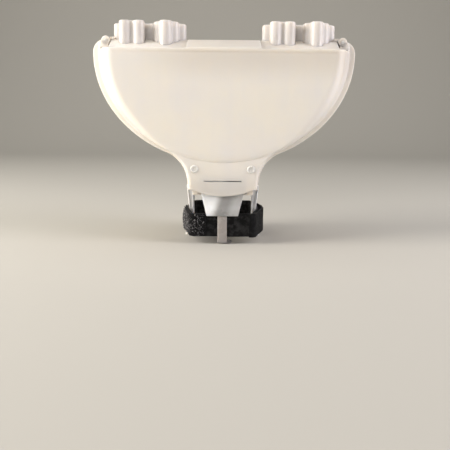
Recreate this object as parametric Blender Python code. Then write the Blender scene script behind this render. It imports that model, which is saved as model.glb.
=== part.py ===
"""Wide bowl diffuser that slips over the head of an on-camera flash.

All dimensions below are in millimetres; solid() turns them into metres.
+X is the bowl's width, -Y its rear, and +Z points up, the way the flash head shines.
The origin is the middle of the flash head's front plane, where the head stops.
"""

import math

import bmesh
import bpy
from mathutils import Vector

MM = 0.001
GAP = 0.3                      # clearance between touching pieces

# Bowl and neck: half-widths along X, depths along Y
RIM_HALF_WIDTH = 114.0         # parting rim, the widest line of the bowl
RIM_DEPTH = 94.7               # how far the rim's ellipse hangs below the bowl's top
RIM_REACH = 5.2                # how far the rim stands out of the side walls
RIM_HALF_THICKNESS = 2.4
BOWL_Z = 118.0                 # height of the ellipses' centres
PANEL_HALF_WIDTH = 91.0        # flat front and rear D-shaped panels
PANEL_DEPTH = 89.5
PANEL_Y = 43.5                 # outer face of a panel
NECK_Y = 42.0                  # outer face of the neck below the panel
NECK_HALF_WIDTH = 32.0
SIDE_HALF_WIDTH = 101.0         # side walls where their round corner ends
SIDE_ROUNDING = 10.0
# Turn of the corner in degrees, with the depth of the bowl and half-width of the neck there
FRONT_CORNER = [(0.0, 88.5, 27.4), (22.5, 89.5, 28.4), (45.0, 90.5, 29.4), (67.5, 90.6, 29.5),
                (90.0, 90.8, 29.6)]
FLARE_RADIUS = 30.0            # concave sweep from bowl to neck
WALL = 1.7
LIP_Z = 120.8                  # top edge of the panels
ARCH_RISE = 10.0               # the end walls and the bridge arch up by this much
CROWN_RADIUS = 7.0             # rounded upper corners of the rim
CROWN_FOOT_Y = 14.0            # the end walls start to rise here
CROWN_RISE = 9.9               # and end just under the rim's own top edge
SKIRT_SIDE_Z = 5.0
SKIRT_MIDDLE_Z = -0.5
SKIRT_HALF_WIDTH = 26.0

# Lids, domes and the bridge between them
BRIDGE_HALF_WIDTH = 30.6
CHEEK_X = 30.0
LID_INNER_X = 31.6
LID_OUTER_X = 97.0
LID_HALF_DEPTH = 39.9
LID_CORNER = [(90.8, LID_HALF_DEPTH), (94.8, 38.0), (96.5, 36.3)]
LID_TOP_Z = 121.7
LID_THICKNESS = 1.9
LID_SKIRT_Z = 115.2
LID_END_Z = 119.9              # lower edge of a lid's end wall
LID_ARM_Z = 126.8              # underside of a lid's hinge arm
HINGE_X = 101.5
HINGE_Z = 129.3
HINGE_RADIUS = 3.7
LID_KNUCKLE_HALF = 6.0
EAR_FAR_Y = 10.3
PIN_RADIUS = 1.5
DOME_X = 64.3
DOME_TOP_Z = 145.6
DOME_WALL = 1.5
DOME_ROUNDING = 1.6            # radius of the domes' upper edges
CUP_PITCH = 14.5               # each cup's centre from the middle of its dome

# Neck fittings
FLASH_HALF_X = 25.0
FLASH_HALF_Y = 38.0
STUD_X = 23.8
STUD_Z = 22.5
SLOT_Z = 12.3
SLOT_HALF_WIDTH = 16.0
TONGUE_THICKNESS = 1.6
TONGUE_Y = FLASH_HALF_Y + 0.2  # inner face of the tongue
STRIP_Y = 40.5                 # inner face of the strip, outside the strap
STRIP_HALF_WIDTH = 4.0
PRONG_FOOT_Z = -41.0

# Strap
STRAP_TOP_Z = -15.5
STRAP_BOTTOM_Z = -35.5
STRAP_THICKNESS = 1.8
STRAP_CORNER = 1.5             # inner bend radius


# ---------------------------------------------------------------- helpers

def solid(name, rings, closed=False):
    """Closed body lofted through rings of points that all have the same count."""
    mesh = bpy.data.meshes.new(name)
    body = bmesh.new()
    loops = [[body.verts.new(Vector(point) * MM) for point in ring] for ring in rings]
    count = len(rings[0])
    pairs = list(zip(loops, loops[1:]))
    if closed:
        pairs.append((loops[-1], loops[0]))
    for low, high in pairs:
        for i in range(count):
            j = (i + 1) % count
            body.faces.new((low[i], low[j], high[j], high[i]))
    if not closed:
        body.faces.new(loops[0])
        body.faces.new(loops[-1])
    bmesh.ops.recalc_face_normals(body, faces=body.faces)
    body.to_mesh(mesh)
    body.free()
    piece = bpy.data.objects.new(name, mesh)
    bpy.context.scene.collection.objects.link(piece)
    return piece


def prism_y(name, outline, y_low, y_high):
    """Outline in X and Z, pushed out along Y."""
    return solid(name, [[(x, y, z) for x, z in outline] for y in (y_low, y_high)])


def prism_z(name, outline, z_low, z_high):
    """Outline in X and Y, pushed out along Z."""
    return solid(name, [[(x, y, z) for x, y in outline] for z in (z_low, z_high)])


def prism_x(name, outline, x_low, x_high):
    """Outline in Y and Z, pushed out along X."""
    return solid(name, [[(x, y, z) for y, z in outline] for x in (x_low, x_high)])


def block(name, low, high):
    """Box between two corners."""
    outline = [(low[0], low[1]), (high[0], low[1]), (high[0], high[1]), (low[0], high[1])]
    return prism_z(name, outline, low[2], high[2])


def rod_y(name, x, z, radius, y_low, y_high, sides=24):
    """Round bar along Y."""
    turn = [2 * math.pi * i / sides for i in range(sides)]
    outline = [(x + radius * math.cos(t), z + radius * math.sin(t)) for t in turn]
    return prism_y(name, outline, y_low, y_high)


def combine(target, operation, *tools):
    """Apply one Boolean per tool, and remove the tools."""
    for tool in tools:
        modifier = target.modifiers.new(operation.title(), "BOOLEAN")
        modifier.operation = operation
        modifier.solver = "EXACT"
        modifier.object = tool
        depsgraph = bpy.context.evaluated_depsgraph_get()
        mesh = bpy.data.meshes.new_from_object(target.evaluated_get(depsgraph))
        target.modifiers.clear()
        target.data = mesh
        bpy.data.objects.remove(tool)
    return target


def cut(target, *tools):
    return combine(target, "DIFFERENCE", *tools)


def union(target, *tools):
    return combine(target, "UNION", *tools)


def mirrored(piece, name, axis):
    """A copy of a piece reflected in X (0) or Y (1)."""
    mesh = piece.data.copy()
    for vertex in mesh.vertices:
        vertex.co[axis] = -vertex.co[axis]
    mesh.flip_normals()
    copy = bpy.data.objects.new(name, mesh)
    bpy.context.scene.collection.objects.link(copy)
    return copy


def paint(name, colour, roughness, metallic=0.0):
    material = bpy.data.materials.new(name)
    material.use_nodes = True
    shader = material.node_tree.nodes["Principled BSDF"]
    shader.inputs["Base Color"].default_value = (*colour, 1.0)
    shader.inputs["Roughness"].default_value = roughness
    shader.inputs["Metallic"].default_value = metallic
    return material


def finish(piece, name, material, pivot=(0.0, 0.0, 0.0)):
    """Name, material, smooth shading, and the origin on the joint's axis."""
    piece.name = name
    piece.data.name = name
    piece.data.materials.clear()
    piece.data.materials.append(material)
    origin = Vector(pivot) * MM
    for vertex in piece.data.vertices:
        vertex.co -= origin
    piece.location = origin
    piece.data.shade_smooth()
    piece.data.set_sharp_from_angle(angle=math.radians(30))
    return piece


# ---------------------------------------------------------------- bowl and neck

def flare_centre(half_width, depth, neck):
    """Height of the concave arc's centre, and where on the ellipse the arc touches."""
    x = neck + FLARE_RADIUS

    def nearest(height):
        def reach(angle):
            dx = half_width * math.cos(angle) - x
            dz = BOWL_Z - depth * math.sin(angle) - height
            return math.hypot(dx, dz)
        angles = [math.radians(0.25 * i) for i in range(361)]
        best = min(angles, key=reach)
        return reach(best), best

    low = BOWL_Z - depth - 3 * FLARE_RADIUS
    high = BOWL_Z - 0.5 * depth
    for _ in range(40):
        middle = (low + high) / 2
        if nearest(middle)[0] > FLARE_RADIUS:
            low = middle
        else:
            high = middle
    return low, nearest(low)[1]


def bowl_outline(half_width, depth, neck, top=140.0, corner=0.0):
    """Closed outline in X and Z: crown, half ellipse, concave flare and straight neck."""
    height, touch = flare_centre(half_width, depth, neck)
    right = []
    for i in range(4):
        turn = math.radians(90 - 30 * i)
        right.append((half_width - corner * (1 - math.cos(turn)), top - corner * (1 - math.sin(turn))))
    for i in range(17):
        angle = touch * i / 16
        right.append((half_width * math.cos(angle), BOWL_Z - depth * math.sin(angle)))
    x = neck + FLARE_RADIUS
    start = math.atan2(right[-1][1] - height, right[-1][0] - x)
    for i in range(1, 8):
        turn = start + (math.pi - start) * i / 7
        right.append((x + FLARE_RADIUS * math.cos(turn), height + FLARE_RADIUS * math.sin(turn)))
    right.append((neck, -8.0))
    return right + [(-px, pz) for px, pz in reversed(right)]


def bowl_core(name, inset):
    """The bowl's and neck's rear half as one full body, made smaller all round by inset."""
    # the side walls meet the panel in a wide round corner, the neck's corner is tighter
    sections = []
    for degrees, depth, neck in FRONT_CORNER:
        turn = math.radians(degrees)
        half_width = SIDE_HALF_WIDTH - SIDE_ROUNDING * (1 - math.sin(turn))
        sections.append((-NECK_Y + SIDE_ROUNDING * (1 - math.cos(turn)), half_width, depth, neck))
    sections.append((-RIM_HALF_THICKNESS, RIM_HALF_WIDTH - RIM_REACH, RIM_DEPTH - 2.5, NECK_HALF_WIDTH - 1.0))
    rings = []
    for y, half_width, depth, neck in sections:
        y = y + inset if y < -10 else y
        # an inner body is made a little taller and longer, so that its cut runs right through
        shape = bowl_outline(half_width - inset, depth - inset, neck - inset, 140.0 + inset)
        rings.append([(x, y, z if z > -8 else z - inset) for x, z in shape])
    end_y = -GAP / 2 + inset
    rings.append([(x, end_y, z) for x, _, z in rings[-1]])
    return solid(name, rings)


def panel_boss(name, inset):
    """Raised D-shaped panel with a rounded edge."""
    rings = []
    for y, shrink in ((-NECK_Y + 1.0, 0.0), (-NECK_Y - 0.3, 0.3), (-NECK_Y - 1.1, 1.2), (-PANEL_Y, 3.4)):
        half_width = PANEL_HALF_WIDTH - shrink - inset
        depth = PANEL_DEPTH - shrink - inset
        turns = [math.pi * i / 40 for i in range(41)]
        arc = [(half_width * math.cos(t), BOWL_Z - depth * math.sin(t)) for t in turns]
        outline = [(half_width, 140.0 + inset)] + arc + [(-half_width, 140.0 + inset)]
        rings.append([(x, y + inset, z) for x, z in outline])
    return solid(name, rings)


def arch_height(y):
    """Top of the end walls and of the bridge, above the lip at the panels."""
    return LIP_Z + ARCH_RISE * math.cos(0.5 * math.pi * y / PANEL_Y)


def wall_height(y):
    """Top of a half shell: level along the panel and the round corners, and up to the crown at the rim."""
    share = (CROWN_FOOT_Y - abs(y)) / (CROWN_FOOT_Y - RIM_HALF_THICKNESS)
    share = min(1.0, max(0.0, share))
    return LIP_Z + CROWN_RISE * share * share * (3 - 2 * share)


def top_cutter():
    """Everything above the top edge."""
    ys = [-1.1 * i for i in range(15)]
    edge = [(5.0, wall_height(0))] + [(y, wall_height(y)) for y in ys] + [(-60.0, LIP_Z)]
    return prism_x("top_cutter", edge + [(-60.0, 160.0), (5.0, 160.0)], -130.0, 130.0)


def skirt_cutter():
    """Everything below the neck's sagging lower edge."""
    drop = SKIRT_SIDE_Z - SKIRT_MIDDLE_Z
    edge = []
    for i in range(17):
        share = -1 + i / 8
        edge.append((SKIRT_HALF_WIDTH * share, SKIRT_MIDDLE_Z + drop * share * share))
    outline = [(-50.0, SKIRT_SIDE_Z)] + edge + [(50.0, SKIRT_SIDE_Z), (50.0, -60.0), (-50.0, -60.0)]
    return prism_y("skirt_cutter", outline, -60.0, 5.0)


def hinge_ear(side):
    """Ear on an end wall that holds one end of a lid's hinge pin."""
    near_y = -LID_KNUCKLE_HALF - GAP
    ear = rod_y("ear", side * HINGE_X, HINGE_Z, HINGE_RADIUS, -EAR_FAR_Y, near_y)
    low_x, high_x = sorted((side * (HINGE_X - 2.3), side * (HINGE_X + 5.0)))
    leg = block("leg", (low_x, -EAR_FAR_Y, 114.0), (high_x, near_y, HINGE_Z - 0.5))
    return union(ear, leg)


def make_shell():
    """Rear half of the bowl, hollow and open along the parting plane."""
    shell = bowl_core("rear_shell", 0.0)
    rim = bowl_outline(RIM_HALF_WIDTH, RIM_DEPTH, NECK_HALF_WIDTH, LIP_Z + ARCH_RISE, CROWN_RADIUS)
    union(shell, panel_boss("boss", 0.0), prism_y("rim", rim, -RIM_HALF_THICKNESS, -GAP / 2))
    cut(shell, bowl_core("hollow", WALL), panel_boss("boss_hollow", WALL))
    cut(shell, top_cutter(), skirt_cutter())
    union(shell, hinge_ear(-1), hinge_ear(1))
    slot = block("slot", (-SLOT_HALF_WIDTH, -50.0, SLOT_Z - 0.9), (SLOT_HALF_WIDTH, -35.0, SLOT_Z + 0.9))
    relief = block("relief", (-20.0, -NECK_Y + 1.0, -10.0), (20.0, -NECK_Y + 4.0, SLOT_Z + 4.0))
    cut(shell, slot, relief)
    for side in (-1, 1):
        cut(shell, rod_y("stud_hole", side * STUD_X, STUD_Z, 2.0, -50.0, -35.0))
        cut(shell, rod_y("pin_hole", side * HINGE_X, HINGE_Z, PIN_RADIUS + 0.2, -20.0, 0.0))
    return shell


# ---------------------------------------------------------------- bridge, lids and domes

def arch_strip(low_y, high_y, drop, thickness, steps=24):
    """Outline in Y and Z of a strip that follows the arch, some way below it."""
    ys = [low_y + (high_y - low_y) * i / steps for i in range(steps + 1)]
    top = [(y, arch_height(y) - drop) for y in ys]
    return top + [(y, z - thickness) for y, z in reversed(top)]


def make_bridge():
    """Arched bridge between the lids, with a cheek and two lid rests on each side."""
    ys = [-41.2 + 82.4 * i / 24 for i in range(25)]
    top = [(y, arch_height(y)) for y in ys]
    under = [(y, z - 1.8) for y, z in reversed(top)]
    bridge = prism_x("centre_bridge", top + under, -BRIDGE_HALF_WIDTH, BRIDGE_HALF_WIDTH)
    cheek = [(y, z - 0.9) for y, z in top] + [(41.2, 113.0), (-41.2, 113.0)]
    for side in (-1, 1):
        low_x, high_x = sorted((side * (CHEEK_X - 1.8), side * CHEEK_X))
        union(bridge, prism_x("cheek", cheek, low_x, high_x))
        low_x, high_x = sorted((side * (CHEEK_X - 0.5), side * (LID_INNER_X + 1.4)))
        for end in (-1, 1):
            low_y, high_y = sorted((end * 12.0, end * 36.0))
            rest = arch_strip(low_y, high_y, LID_THICKNESS + 0.4, 1.8, 6)
            union(bridge, prism_x("rest", rest, low_x, high_x))
    for end in (-1, 1):
        low_y, high_y = sorted((end * 39.4, end * 41.2))
        union(bridge, block("foot", (-28.5, low_y, 113.0), (28.5, high_y, LIP_Z - 0.5)))
    return bridge


def cup_reach(angle, lobes, core, grow):
    """Distance from a cup's centre to its fluted wall in one direction."""
    reach = core + grow
    for x, y, radius in lobes:
        distance = math.hypot(x, y)
        turn = angle - math.atan2(y, x)
        across = distance * math.sin(turn)
        if math.cos(turn) > 0 and abs(across) < radius + grow:
            reach = max(reach, distance * math.cos(turn) + math.sqrt((radius + grow) ** 2 - across ** 2))
    return reach


def dome_outline(grow, step=9.0):
    """Plan of two fluted cups that share a middle lobe, centred on the dome."""
    side = 4.5
    pair = [(6.0, -11.0, 5.1), (-6.0, -11.0, 5.1), (6.0, 11.0, 5.1), (-6.0, 11.0, 5.1)]
    shoulders = [(6.2, -6.5, 5.0), (-6.2, -6.5, 5.0), (6.2, 6.5, 5.0), (-6.2, 6.5, 5.0)]
    left_cup = pair + [(0.0, -9.5, 4.0), (0.0, 9.5, 4.0), (-12.5, 0.0, side), (CUP_PITCH, 0.0, side)]
    right_cup = shoulders + [(0.0, -12.5, 5.6), (0.0, 12.5, 5.6), (12.5, 0.0, side), (-CUP_PITCH, 0.0, side)]
    edge = math.atan2(side + grow, CUP_PITCH)
    steps = round((360 - 2 * math.degrees(edge)) / step)
    points = []
    for centre, lobes, start in ((-CUP_PITCH, left_cup, 0.0), (CUP_PITCH, right_cup, math.pi)):
        for i in range(steps):
            angle = start + edge + (2 * math.pi - 2 * edge) * i / steps
            reach = cup_reach(angle, lobes, 10.6, grow)
            points.append((centre + reach * math.cos(angle), reach * math.sin(angle)))
    return points


def shrunk(outline, inset):
    """The outline with each corner moved inwards, square to the line between its neighbours."""
    points = []
    for i, (px, py) in enumerate(outline):
        before = outline[i - 1]
        after = outline[(i + 1) % len(outline)]
        length = math.dist(before, after)
        step = inset / length
        points.append((px - step * (after[1] - before[1]), py + step * (after[0] - before[0])))
    return points


def make_dome(x):
    """Fluted twin cup, closed on top and open below, with its base plate under the lid."""
    plan = dome_outline(0.0)
    rings = [[(x + px, py, 116.0) for px, py in plan]]
    for drop in (DOME_ROUNDING, 0.4, 0.0):
        pull = DOME_ROUNDING - math.sqrt(DOME_ROUNDING ** 2 - (DOME_ROUNDING - drop) ** 2)
        rings.append([(x + px, py, DOME_TOP_Z - drop) for px, py in shrunk(plan, 0.6 * pull)])
    dome = solid("dome", rings)
    base = arch_strip(-20.5, 20.5, LID_THICKNESS + 0.3, 1.4, 12)
    plate = prism_x("plate", base, x - 26.0, x + 26.0)
    union(dome, plate)
    hollow = [(x + px, py) for px, py in dome_outline(-DOME_WALL)]
    return cut(dome, prism_z("hollow", hollow, 100.0, DOME_TOP_Z - DOME_WALL))


def make_lid(side):
    """Arched lid with an opening for its dome, two side skirts, an end wall and a hinge knuckle."""
    half = [(LID_INNER_X, LID_HALF_DEPTH)] + LID_CORNER + [(LID_OUTER_X, 33.0)]
    outline = [(side * x, y) for x, y in half] + [(side * x, -y) for x, y in reversed(half)]
    low_x, high_x = sorted((side * LID_INNER_X, side * LID_OUTER_X))
    lid = prism_x("lid", arch_strip(-LID_HALF_DEPTH, LID_HALF_DEPTH, 0.0, LID_THICKNESS), low_x, high_x)
    combine(lid, "INTERSECT", prism_z("outline", outline, 110.0, 140.0))
    for end in (-1, 1):
        low_x, high_x = sorted((side * (LID_INNER_X + 2.5), side * 87.0))
        low_y, high_y = sorted((end * (LID_HALF_DEPTH - 1.5), end * LID_HALF_DEPTH))
        union(lid, block("skirt", (low_x, low_y, LID_SKIRT_Z), (high_x, high_y, LID_TOP_Z - 0.4)))
    end_wall = arch_strip(-33.0, 33.0, 0.6, 1.0)[:25] + [(33.0, LID_END_Z), (-33.0, LID_END_Z)]
    union(lid, prism_x("end_wall", end_wall, *sorted((side * (LID_OUTER_X - 1.7), side * (LID_OUTER_X - 0.1)))))
    low_x, high_x = sorted((side * (LID_OUTER_X - 1.8), side * (HINGE_X + 1.5)))
    knuckle = rod_y("knuckle", side * HINGE_X, HINGE_Z, HINGE_RADIUS, -LID_KNUCKLE_HALF, LID_KNUCKLE_HALF)
    arm_low = (low_x, -LID_KNUCKLE_HALF, LID_ARM_Z)
    arm = block("arm", arm_low, (high_x, LID_KNUCKLE_HALF, HINGE_Z))
    union(lid, union(knuckle, arm))
    opening = [(side * DOME_X + x, y) for x, y in shrunk(dome_outline(0.0), -1.5 * GAP)]
    cut(lid, prism_z("opening", opening, 100.0, 150.0))
    return cut(lid, rod_y("bore", side * HINGE_X, HINGE_Z, PIN_RADIUS + 0.2, -20.0, 20.0))


# ---------------------------------------------------------------- neck fittings

def make_seat():
    """Frame that stops the flash head, with four ears held by the studs."""
    seat = block("flash_seat", (-25.4, -37.8, GAP), (25.4, 37.8, 2.8))
    cut(seat, block("window", (-19.0, -31.0, -5.0), (19.0, 31.0, 10.0)))
    for side in (-1, 1):
        for end in (-1, 1):
            low_x, high_x = sorted((side * 20.3, side * 25.7))
            low_y, high_y = sorted((end * 36.5, end * 39.9))
            ear = block("ear", (low_x, low_y, GAP), (high_x, high_y, 27.0))
            low_y, high_y = sorted((end * 30.0, end * 38.1))
            cut(ear, block("thin", (low_x - 1, low_y, 2.8), (high_x + 1, high_y, 30.0)))
            union(seat, ear)
            low_y, high_y = sorted((end * 35.0, end * 45.0))
            cut(seat, rod_y("hole", side * STUD_X, STUD_Z, 2.0, low_y, high_y))
    return seat


def make_stud(side):
    """Domed snap stud through the neck and an ear of the seat."""
    profile = [
        (-NECK_Y - 1.5, 1.6), (-NECK_Y - 1.3, 2.8), (-NECK_Y - 0.9, 3.6), (-NECK_Y - GAP, 3.8),
        (-NECK_Y - GAP, 1.6), (-38.1 + GAP, 1.6), (-38.1 + GAP, 2.6), (-36.9, 1.9),
    ]
    turn = [2 * math.pi * i / 24 for i in range(24)]
    rings = []
    for y, radius in profile:
        rings.append([(side * STUD_X + radius * math.cos(t), y, STUD_Z + radius * math.sin(t)) for t in turn])
    return solid("stud", rings)


def make_tongue():
    """Springy tongue hung in the slot, with a strip and a hook foot outside the strap."""
    levels = [
        (15.0, 18.5, TONGUE_Y), (0.0, 17.75, TONGUE_Y), (-6.0, 16.2, TONGUE_Y), (-9.0, 15.4, TONGUE_Y + 0.6),
        (-12.0, 14.6, STRIP_Y - 0.4), (-14.0, 14.1, STRIP_Y), (-17.3, 13.2, STRIP_Y),
    ]
    rings = []
    for z, half_width, inner in levels:
        outer = inner + TONGUE_THICKNESS
        corners = [(-half_width, -outer), (half_width, -outer), (half_width, -inner), (-half_width, -inner)]
        rings.append([(x, y, z) for x, y in corners])
    tongue = solid("tongue", rings)
    strip_outer = STRIP_Y + TONGUE_THICKNESS + 0.2
    strip = block("strip", (-STRIP_HALF_WIDTH, -strip_outer, -40.5), (STRIP_HALF_WIDTH, -STRIP_Y - 0.1, -15.0))
    lip = block("lip", (-15.4, -NECK_Y + 0.2, SLOT_Z - 0.6), (15.4, -TONGUE_Y - 0.5, SLOT_Z + 0.6))
    foot = block("foot", (-STRIP_HALF_WIDTH + 0.1, -STRIP_Y - 1.2, -40.4), (8.0, -FLASH_HALF_Y - 0.4, -38.4))
    return union(tongue, strip, lip, foot)


def make_prong():
    """Right-hand side leg: an H-shaped bar with a locating tab inside the neck and an outward toe."""
    levels = [(4.7, 32.2, 9.0), (-6.0, 31.0, 8.4), (-14.0, 30.2, 7.8), (PRONG_FOOT_Z, 30.2, 6.5)]
    inner = FLASH_HALF_X + 0.9
    flange = 1.4
    web = 1.0
    rings = []
    for z, outer, half in levels:
        right = [(outer, half), (outer - flange, half), (outer - flange, web), (inner + flange, web),
                 (inner + flange, half), (inner, half)]
        loop = right + [(x, -y) for x, y in reversed(right)]
        rings.append([(x, y, z) for x, y in loop])
    prong = solid("prong", rings)
    tab = block("tab", (inner + 0.1, -8.0, 3.0), (inner + 2.6, 8.0, 18.0))
    toe = block("toe", (28.0, -5.0, PRONG_FOOT_Z), (33.4, 5.0, PRONG_FOOT_Z + 2.2))
    return union(prong, tab, toe)


# ---------------------------------------------------------------- strap

def strap_stations():
    """Points all round the strap: bend centre and outward angle, anticlockwise from the rear left."""
    centres = [(-23.8, -36.8), (23.8, -36.8), (29.0, -7.0), (29.0, 7.0),
               (23.8, 36.8), (-23.8, 36.8), (-29.0, 7.0), (-29.0, -7.0)]
    count = len(centres)
    normals = []
    for i, (x, y) in enumerate(centres):
        after = centres[(i + 1) % count]
        normals.append(math.atan2(-(after[0] - x), after[1] - y))
    stations = []
    for i, (x, y) in enumerate(centres):
        start = normals[i - 1]
        sweep = (normals[i] - start) % (2 * math.pi)
        steps = max(2, round(math.degrees(sweep) / 20))
        stations += [(x, y, start + sweep * k / steps) for k in range(steps + 1)]
        after = centres[(i + 1) % count]
        length = math.hypot(after[0] - x, after[1] - y)
        pieces = max(2, round(length / 8))
        for k in range(1, pieces):
            share = k / pieces
            stations.append((x + (after[0] - x) * share, y + (after[1] - y) * share, normals[i]))
    return stations


def strap_section(station, inner, outer, low=STRAP_BOTTOM_Z, high=STRAP_TOP_Z):
    """Four corners of the webbing at one station, at offsets from the strap's inner face."""
    x, y, angle = station
    dx = math.cos(angle)
    dy = math.sin(angle)
    near = STRAP_CORNER + inner
    far = STRAP_CORNER + outer
    return [(x + near * dx, y + near * dy, low), (x + far * dx, y + far * dy, low),
            (x + far * dx, y + far * dy, high), (x + near * dx, y + near * dy, high)]


def station_span(start, end):
    """The stations from the one nearest to start round to the one nearest to end."""
    stations = strap_stations()

    def nearest(target):
        return min(range(len(stations)), key=lambda i: math.dist(stations[i][:2], target))

    first = nearest(start)
    last = nearest(end)
    if last < first:
        last += len(stations)
    return [stations[i % len(stations)] for i in range(first, last + 1)]


def make_band():
    return solid("band", [strap_section(s, 0.0, STRAP_THICKNESS) for s in strap_stations()], closed=True)


def make_hook_patch():
    """Hook tape sewn on the band, round its rear left corner."""
    base = STRAP_THICKNESS + GAP
    span = station_span((-29.0, 7.0), (-14.0, -36.8))
    return solid("patch", [strap_section(s, base, base + 2.3, STRAP_BOTTOM_Z + 0.5, STRAP_TOP_Z) for s in span])


def make_tail():
    """Free end of the strap, lapped over the rear right corner and standing off a little."""
    base = STRAP_THICKNESS + GAP
    span = station_span((23.0, -36.8), (26.5, 22.0))
    sections = []
    for i, station in enumerate(span):
        lift = 2.6 * math.sin(math.pi * i / (len(span) - 1)) ** 2
        sections.append(strap_section(station, base + lift, base + lift + 1.8, STRAP_BOTTOM_Z, STRAP_TOP_Z + 0.6))
    return solid("tail", sections)


# ---------------------------------------------------------------- assembly

def main():
    for old in list(bpy.data.objects):
        bpy.data.objects.remove(old)

    frosted = paint("frosted_plastic", (0.86, 0.82, 0.75), 0.45)
    clear = paint("dome_plastic", (0.88, 0.85, 0.80), 0.40)
    pin_grey = paint("hinge_pin", (0.80, 0.79, 0.77), 0.35)
    webbing = paint("black_webbing", (0.02, 0.02, 0.022), 0.85)
    hooks = paint("hook_tape", (0.03, 0.03, 0.035), 0.95)

    shell = make_shell()
    finish(mirrored(shell, "front_shell", 1), "front_shell", frosted)
    finish(shell, "rear_shell", frosted)
    finish(make_bridge(), "centre_bridge", frosted)

    for side, word in ((-1, "left"), (1, "right")):
        axis = (side * HINGE_X, 0.0, HINGE_Z)
        finish(make_lid(side), word + "_lid", frosted, axis)
        finish(make_dome(side * DOME_X), word + "_dome", clear, axis)
        pin = rod_y("pin", side * HINGE_X, HINGE_Z, PIN_RADIUS, -EAR_FAR_Y, EAR_FAR_Y)
        finish(pin, word + "_hinge_pin", pin_grey, axis)

    finish(make_seat(), "flash_seat", frosted)
    for side, word in ((-1, "left"), (1, "right")):
        stud = make_stud(side)
        finish(mirrored(stud, "front_stud", 1), "front_" + word + "_stud", frosted)
        finish(stud, "rear_" + word + "_stud", frosted)

    tongue = make_tongue()
    pivot_y = NECK_Y - 1.2
    finish(mirrored(tongue, "front_tongue", 1), "front_tongue", frosted, (0.0, pivot_y, SLOT_Z))
    finish(tongue, "rear_tongue", frosted, (0.0, -pivot_y, SLOT_Z))

    prong = make_prong()
    finish(mirrored(prong, "left_prong", 0), "left_prong", frosted)
    finish(prong, "right_prong", frosted)

    finish(make_band(), "strap_band", webbing)
    finish(make_hook_patch(), "strap_hook_patch", hooks)
    finish(make_tail(), "strap_tail", webbing)


main()
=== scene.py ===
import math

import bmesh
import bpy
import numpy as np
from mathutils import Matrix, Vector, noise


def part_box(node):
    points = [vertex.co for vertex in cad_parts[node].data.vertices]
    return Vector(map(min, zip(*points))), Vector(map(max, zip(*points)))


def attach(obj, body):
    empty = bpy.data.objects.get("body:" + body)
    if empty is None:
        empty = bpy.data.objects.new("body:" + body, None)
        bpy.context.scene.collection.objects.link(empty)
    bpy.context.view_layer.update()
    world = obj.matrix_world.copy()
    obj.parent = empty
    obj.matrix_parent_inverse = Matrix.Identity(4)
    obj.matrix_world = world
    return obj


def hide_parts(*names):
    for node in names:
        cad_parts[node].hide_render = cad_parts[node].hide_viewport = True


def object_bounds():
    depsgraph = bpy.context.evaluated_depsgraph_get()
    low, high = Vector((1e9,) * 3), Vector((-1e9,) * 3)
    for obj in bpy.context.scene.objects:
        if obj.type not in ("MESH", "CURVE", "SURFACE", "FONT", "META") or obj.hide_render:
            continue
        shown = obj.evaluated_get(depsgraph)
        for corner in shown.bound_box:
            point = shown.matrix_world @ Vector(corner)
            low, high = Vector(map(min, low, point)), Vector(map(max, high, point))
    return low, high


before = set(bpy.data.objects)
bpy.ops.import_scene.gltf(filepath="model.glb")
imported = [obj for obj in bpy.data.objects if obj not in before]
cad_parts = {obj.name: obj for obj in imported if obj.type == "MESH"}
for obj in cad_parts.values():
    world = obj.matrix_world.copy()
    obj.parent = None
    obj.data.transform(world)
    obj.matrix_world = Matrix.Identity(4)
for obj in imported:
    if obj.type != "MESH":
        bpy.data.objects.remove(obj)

# %% [markdown]
# # A wide bowl diffuser for an on-camera flash
# The diffuser is a milky bowl moulded in two halves, with two lids and their fluted cups
# on top, and a neck that grips the flash head with two springy tongues, two side legs and
# a hook-and-loop strap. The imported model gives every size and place. This script makes the
# fine surfaces and the finishes. Work is in millimetres, and each mesh is turned into
# metres when it is finished.

MM = 0.001
cad_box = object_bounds()
print("packed box in mm:", [[round(v / MM, 1) for v in corner] for corner in cad_box])


def node_box(name):
    """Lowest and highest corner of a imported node, in millimetres."""
    low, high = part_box(name)
    return np.array(low) / MM, np.array(high) / MM


# %% [markdown]
# ## The stage, the camera and the lights
# A white translucent thing is hard to see on white. The floor is pale but a little darker
# than the plastic, and runs up into a curved backdrop so that no horizon cuts the bowl.
# The side lights stand left and right, a warm one and a cool one, so that the flared walls
# glow while the flat panel between them stays calm.

# %% Camera
CAMERA_PLACE = Vector((3.7, -599.6, 78.4)) * MM
CAMERA_PITCH = math.radians(-10.5)
CAMERA_YAW = math.radians(0.13)
CAMERA_ROLL = math.radians(0.59)


def add_camera():
    data = bpy.data.cameras.new("view_camera")
    data.sensor_width = 36.0
    data.lens = 53.3
    data.clip_start = 0.01
    camera = bpy.data.objects.new("view_camera", data)
    bpy.context.scene.collection.objects.link(camera)
    turn = Matrix.Rotation(CAMERA_YAW, 4, "Z") @ Matrix.Rotation(math.pi / 2 + CAMERA_PITCH, 4, "X")
    camera.matrix_world = Matrix.Translation(CAMERA_PLACE) @ turn @ Matrix.Rotation(CAMERA_ROLL, 4, "Z")
    bpy.context.scene.camera = camera
    return camera


add_camera()

# %% Lights
def add_area_light(name, place, target, size, power, colour):
    data = bpy.data.lights.new(name, "AREA")
    data.shape = "RECTANGLE"
    data.size, data.size_y = size
    data.energy = power
    data.color = colour
    light = bpy.data.objects.new(name, data)
    bpy.context.scene.collection.objects.link(light)
    aim = (Vector(target) - Vector(place)).to_track_quat("-Z", "Y")
    light.matrix_world = Matrix.Translation(place) @ aim.to_matrix().to_4x4()
    return light


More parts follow.
